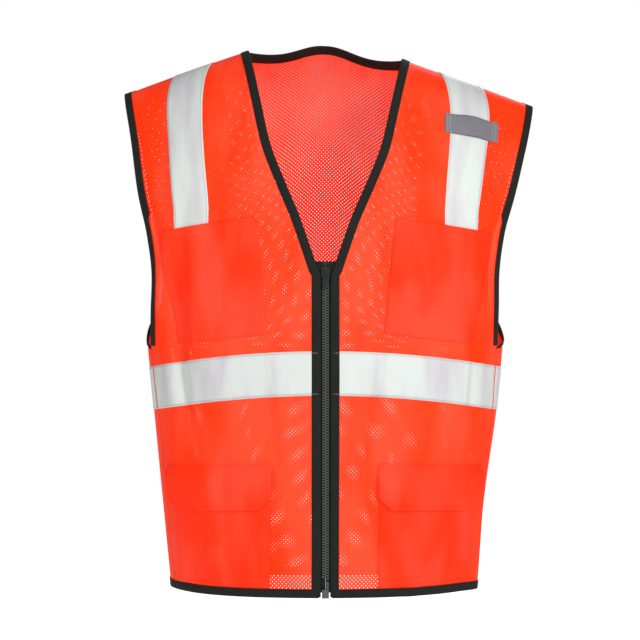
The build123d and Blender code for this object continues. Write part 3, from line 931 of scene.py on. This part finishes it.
def row_tree():
    """Geometry Nodes: repeat an object down a line."""
    tree = bpy.data.node_groups.new("tooth row", "GeometryNodeTree")
    face = tree.interface
    face.new_socket("Geometry", in_out="INPUT", socket_type="NodeSocketGeometry")
    face.new_socket("Tooth", in_out="INPUT", socket_type="NodeSocketObject")
    face.new_socket("Count", in_out="INPUT", socket_type="NodeSocketInt")
    face.new_socket("Pitch", in_out="INPUT", socket_type="NodeSocketFloat")
    face.new_socket("Start", in_out="INPUT", socket_type="NodeSocketVector")
    face.new_socket("Material", in_out="INPUT", socket_type="NodeSocketMaterial")
    face.new_socket("Geometry", in_out="OUTPUT", socket_type="NodeSocketGeometry")
    nodes, links = tree.nodes, tree.links
    given, out = nodes.new("NodeGroupInput"), nodes.new("NodeGroupOutput")
    line = nodes.new("GeometryNodeMeshLine")
    step = nodes.new("ShaderNodeCombineXYZ")
    down = nodes.new("ShaderNodeMath")
    down.operation = "MULTIPLY"
    down.inputs[1].default_value = -1.0
    info = nodes.new("GeometryNodeObjectInfo")
    stamp = nodes.new("GeometryNodeInstanceOnPoints")
    real = nodes.new("GeometryNodeRealizeInstances")
    paint = nodes.new("GeometryNodeSetMaterial")
    links.new(given.outputs["Count"], line.inputs["Count"])
    links.new(given.outputs["Start"], line.inputs["Start Location"])
    links.new(given.outputs["Pitch"], down.inputs[0])
    links.new(down.outputs[0], step.inputs[2])
    links.new(step.outputs[0], line.inputs["Offset"])
    links.new(given.outputs["Tooth"], info.inputs["Object"])
    links.new(line.outputs[0], stamp.inputs["Points"])
    links.new(info.outputs["Geometry"], stamp.inputs["Instance"])
    links.new(stamp.outputs[0], real.inputs[0])
    links.new(real.outputs[0], paint.inputs["Geometry"])
    links.new(given.outputs["Material"], paint.inputs["Material"])
    links.new(paint.outputs[0], out.inputs[0])
    return tree


def grown(label, tree, values):
    """Run a tree on an empty mesh and keep the result as a plain mesh object."""
    piece = bpy.data.objects.new(label, bpy.data.meshes.new(label))
    bpy.context.collection.objects.link(piece)
    grow = piece.modifiers.new("grow", "NODES")
    grow.node_group = tree
    ids = {item.name: item.identifier for item in tree.interface.items_tree if item.in_out == "INPUT"}
    for key, value in values.items():
        grow[ids[key]] = value
    bake(piece)
    print(label, "faces", len(piece.data.polygons))
    return piece


ROW = row_tree()
TOOTH_COUNT = int((ZIP_TOP_Z - ZIP_END_Z - 18) / TOOTH_PITCH)
for name, side in SIDES:
    tooth = one_tooth(side)
    shift = 0.0 if side < 0 else TOOTH_PITCH / 2
    teeth = grown(f"{name}_teeth_row", ROW, {
        "Tooth": tooth, "Count": TOOTH_COUNT, "Pitch": TOOTH_PITCH * MM,
        "Start": (0.0, CHAIN_Y * MM, (ZIP_TOP_Z - 5.85 - shift) * MM), "Material": TEETH})
    bpy.data.objects.remove(tooth)
    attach(teeth, f"front_{name}")
    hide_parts(f"{name}_zip_teeth")

# %% [markdown]
# ## Stitches
# Every seam line is a string of points on the cloth. One Geometry Nodes tree turns the lines into thread: it
# spaces points along them and lays a short rounded stitch at each, turned to follow the line.


# %% Stitch tree
def stitch_tree():
    tree = bpy.data.node_groups.new("stitch run", "GeometryNodeTree")
    face = tree.interface
    face.new_socket("Geometry", in_out="INPUT", socket_type="NodeSocketGeometry")
    for label, kind in (("Spacing", "NodeSocketFloat"), ("Length", "NodeSocketFloat"),
                        ("Radius", "NodeSocketFloat"), ("Material", "NodeSocketMaterial")):
        face.new_socket(label, in_out="INPUT", socket_type=kind)
    face.new_socket("Geometry", in_out="OUTPUT", socket_type="NodeSocketGeometry")
    nodes, links = tree.nodes, tree.links
    given, out = nodes.new("NodeGroupInput"), nodes.new("NodeGroupOutput")
    curve = nodes.new("GeometryNodeMeshToCurve")
    spaced = nodes.new("GeometryNodeResampleCurve")
    try:
        spaced.mode = "LENGTH"
    except (AttributeError, TypeError):
        spaced.inputs["Mode"].default_value = "Length"
    tangent = nodes.new("GeometryNodeInputTangent")
    align = nodes.new("FunctionNodeAlignRotationToVector")
    align.axis = "Z"
    stitch = nodes.new("GeometryNodeMeshCylinder")
    stitch.inputs["Vertices"].default_value = 5
    stamp = nodes.new("GeometryNodeInstanceOnPoints")
    real = nodes.new("GeometryNodeRealizeInstances")
    paint = nodes.new("GeometryNodeSetMaterial")
    links.new(given.outputs["Geometry"], curve.inputs[0])
    links.new(curve.outputs[0], spaced.inputs["Curve"])
    links.new(given.outputs["Spacing"], spaced.inputs["Length"])
    links.new(spaced.outputs[0], stamp.inputs["Points"])
    links.new(tangent.outputs[0], align.inputs["Vector"])
    links.new(align.outputs[0], stamp.inputs["Rotation"])
    links.new(given.outputs["Radius"], stitch.inputs["Radius"])
    links.new(given.outputs["Length"], stitch.inputs["Depth"])
    links.new(stitch.outputs["Mesh"], stamp.inputs["Instance"])
    links.new(stamp.outputs[0], real.inputs[0])
    links.new(real.outputs[0], paint.inputs["Geometry"])
    links.new(given.outputs["Material"], paint.inputs["Material"])
    links.new(paint.outputs[0], out.inputs[0])
    return tree


STITCH = stitch_tree()


def sewn(label, lines, material, spacing=3.0, long=2.2, radius=0.24):
    """Thread along lines, each a list of points in millimetres."""
    verts, edges = [], []
    for line in lines:
        start = len(verts)
        verts += [p * MM for p in line]
        edges += [(start + i, start + i + 1) for i in range(len(line) - 1)]
    piece = bpy.data.objects.new(label, bpy.data.meshes.new(label))
    piece.data.from_pydata(verts, edges, [])
    bpy.context.collection.objects.link(piece)
    grow = piece.modifiers.new("grow", "NODES")
    grow.node_group = STITCH
    ids = {item.name: item.identifier for item in STITCH.interface.items_tree if item.in_out == "INPUT"}
    for key, value in (("Spacing", spacing * MM), ("Length", long * MM), ("Radius", radius * MM),
                       ("Material", material)):
        grow[ids[key]] = value
    bake(piece)
    print(label, "stitch faces", len(piece.data.polygons))
    return piece


def line_of(spot, count):
    return [spot(i / count) for i in range(count + 1)]


# %% Seam lines
def inset(place, du, dv):
    """The two sides and the bottom of a patch, sewn a little in from its edges."""
    return [line_of(lambda t: place(du, 1 - t), 60), line_of(lambda t: place(lerp(du, 1 - du, t), dv), 60),
            line_of(lambda t: place(1 - du, t), 60)]


for name, side in SIDES:
    def chest(u, v):
        return on_front(side, *corner_spot(CHEST_POCKET, u, v), pocket_lift(u, v, 1.6) + 0.4)

    def lower(u, v):
        return on_front(side, *corner_spot(LOWER_POCKET, u, v), pocket_lift(u, v, 2.4) + 0.4)

    lines = inset(chest, 0.018, 0.016) + inset(lower, 0.018, 0.016)
    lines.append(line_of(lambda t: chest(lerp(0.02, 0.98, t), 0.86), 60))
    threads = sewn(f"{name}_pocket_thread", lines, THREAD)
    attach(threads, f"front_{name}")

    start = angle_at(side * (FRONT_EDGE + 4), WAIST_TAPE_Z)
    start = start if side > 0 else start - 2 * math.pi

    def waist(t, v):
        angle = lerp(start, side * (SEAM + 2 * CLEAR), t)
        return on_cloth(angle, waist_z(angle) + (v - 0.5) * TAPE_WIDE, 1.15)

    lines = [line_of(lambda t: waist(t, v), 120) for v in (0.04, 0.96)]
    threads = sewn(f"{name}_waist_thread", lines, GREY_THREAD)
    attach(threads, f"front_{name}")

    def strap(u, v, front):
        x, z = shoulder_spot(side, u, v, front)
        return on_cloth(angle_at(x, z, front=front), z, 1.15)

    lines = [line_of(lambda t: strap(u, t, True), 90) for u in (0.05, 0.95)]
    threads = sewn(f"{name}_shoulder_thread", lines, GREY_THREAD)
    blend_front(threads)
    lines = [line_of(lambda t: strap(u, t, False), 90) for u in (0.05, 0.95)]
    threads = sewn(f"{name}_back_thread", lines, GREY_THREAD)
    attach(threads, "vest")

    edge = front_binding_place(side)
    hole = armhole_front_place(side)
    lines = [line_of(lambda t: edge(t, 7.8, 1.35), 200), line_of(lambda t: hole(t, 7.8, 1.35), 120)]
    threads = sewn(f"{name}_edge_thread", lines, BLACK_THREAD, spacing=3.4)
    blend_front(threads)

    place = flap_place(side)

    def rim(u, v):
        at = place(u, v)
        ahead = (at - Vector((0.6 * at.x, 0, at.z - 60))).normalized()
        return at + ahead * 0.8

    lines = [line_of(lambda t: rim(0.035, lerp(0.97, FLAP_CLIP, t)), 30),
             line_of(lambda t: rim(0.035, lerp(FLAP_CLIP, 0.08, t)), 20),
             line_of(lambda t: rim(lerp(0.035, 0.965, t), 0.08), 60),
             line_of(lambda t: rim(0.965, lerp(0.08, 0.97, t)), 50),
             line_of(lambda t: rim(lerp(0.02, 0.98, t), 0.93), 60)]
    threads = sewn(f"{name}_flap_thread", lines, THREAD)
    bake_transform(threads)


def back_waist(t, v):
    angle = lerp(-SEAM + 2 * CLEAR, SEAM - 2 * CLEAR, t)
    return on_cloth(angle, waist_z(angle) + (v - 0.5) * TAPE_WIDE, 1.15)


rows = [line_of(lambda t: back_waist(t, v), 200) for v in (0.04, 0.96)]
threads = sewn("back_waist_thread", rows, GREY_THREAD)
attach(threads, "vest")

threads = sewn("mic_tab_thread", [line_of(lambda t: tab_place(u, t) + Vector((0, -0.8, 0)), 12)
                                  for u in (0.05, 0.10, 0.90, 0.95)], GREY_THREAD, spacing=2.4, long=1.7)
blend_front(threads)

# %% [markdown]
# ## Stage, light and camera
# A pale room with big soft lights, and a long lens at chest height.

# %% Stage and camera
FLOOR_Z, FLOOR_REACH = -0.95, 6
SEEN_GLOW = 0.55  # added to what the camera sees of the floor
ROOM_LIGHT = 0.34


def stage_plane(name, corners, color, glow):
    mesh = bpy.data.meshes.new(name)
    mesh.from_pydata(corners, [], [(0, 1, 2, 3)])
    plane = bpy.data.objects.new(name, mesh)
    bpy.context.collection.objects.link(plane)
    paint = bpy.data.materials.new(name)
    paint.use_nodes = True
    shader = paint.node_tree.nodes["Principled BSDF"]
    shader.inputs["Base Color"].default_value = (*color, 1)
    shader.inputs["Roughness"].default_value = 0.9
    shader.inputs["Emission Color"].default_value = (1, 1, 1, 1)
    tree = paint.node_tree
    rays, glows = tree.nodes.new("ShaderNodeLightPath"), tree.nodes.new("ShaderNodeMath")
    glows.operation = "MULTIPLY_ADD"  # the floor looks brighter than it lights, so it is white all round
    glows.inputs[1].default_value, glows.inputs[2].default_value = SEEN_GLOW, glow
    tree.links.new(rays.outputs["Is Camera Ray"], glows.inputs[0])
    tree.links.new(glows.outputs[0], shader.inputs["Emission Strength"])
    mesh.materials.append(paint)
    plane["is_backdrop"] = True


CORNERS = ((-1, -1), (1, -1), (1, 1), (-1, 1))
stage_plane("floor", [(x * FLOOR_REACH, y * FLOOR_REACH, FLOOR_Z) for x, y in CORNERS], (0.9, 0.9, 0.9), 0.25)
# The room is seen white, and lights the vest more softly than it looks.
world = bpy.data.worlds.new("room")
world.use_nodes = True
room = world.node_tree
seen, rays, blend_room = (room.nodes.new(kind) for kind in (
    "ShaderNodeBackground", "ShaderNodeLightPath", "ShaderNodeMixShader"))
room.nodes["Background"].inputs[0].default_value = (1, 1, 1, 1)
room.nodes["Background"].inputs[1].default_value = ROOM_LIGHT
seen.inputs[0].default_value = (1, 1, 1, 1)
room.links.new(rays.outputs["Is Camera Ray"], blend_room.inputs[0])
room.links.new(room.nodes["Background"].outputs[0], blend_room.inputs[1])
room.links.new(seen.outputs[0], blend_room.inputs[2])
room.links.new(blend_room.outputs[0], room.nodes["World Output"].inputs[0])
bpy.context.scene.world = world


def soft_light(label, spot, aim, size, power):
    data = bpy.data.lights.new(label, "AREA")
    data.size = size
    data.energy = power
    lamp = bpy.data.objects.new(label, data)
    lamp.location = spot
    lamp.rotation_euler = (Vector(aim) - Vector(spot)).to_track_quat("-Z", "Y").to_euler()
    bpy.context.collection.objects.link(lamp)


soft_light("key", (1.1, -1.9, 0.7), (0, 0, -0.3), 0.5, 38)
soft_light("fill", (-1.9, -1.4, 0.1), (0, 0, -0.3), 1.0, 12)
soft_light("behind", (0.8, 2.2, 0.6), (0, 0, -0.3), 1.0, 16)

lens = bpy.data.cameras.new("camera")
lens.lens = 136.2
camera = bpy.data.objects.new("camera", lens)
camera.location = (-0.0064, -2.898, -0.310)
camera.rotation_euler = (math.pi / 2, 0, 0)
bpy.context.collection.objects.link(camera)
bpy.context.scene.camera = camera
bpy.context.scene.view_settings.view_transform = "Standard"

# %% Sizes and finish
low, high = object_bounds()
{"cad": [list(cad_low), list(cad_high)], "visual": [list(low), list(high)]}
print("visual box", low, high)
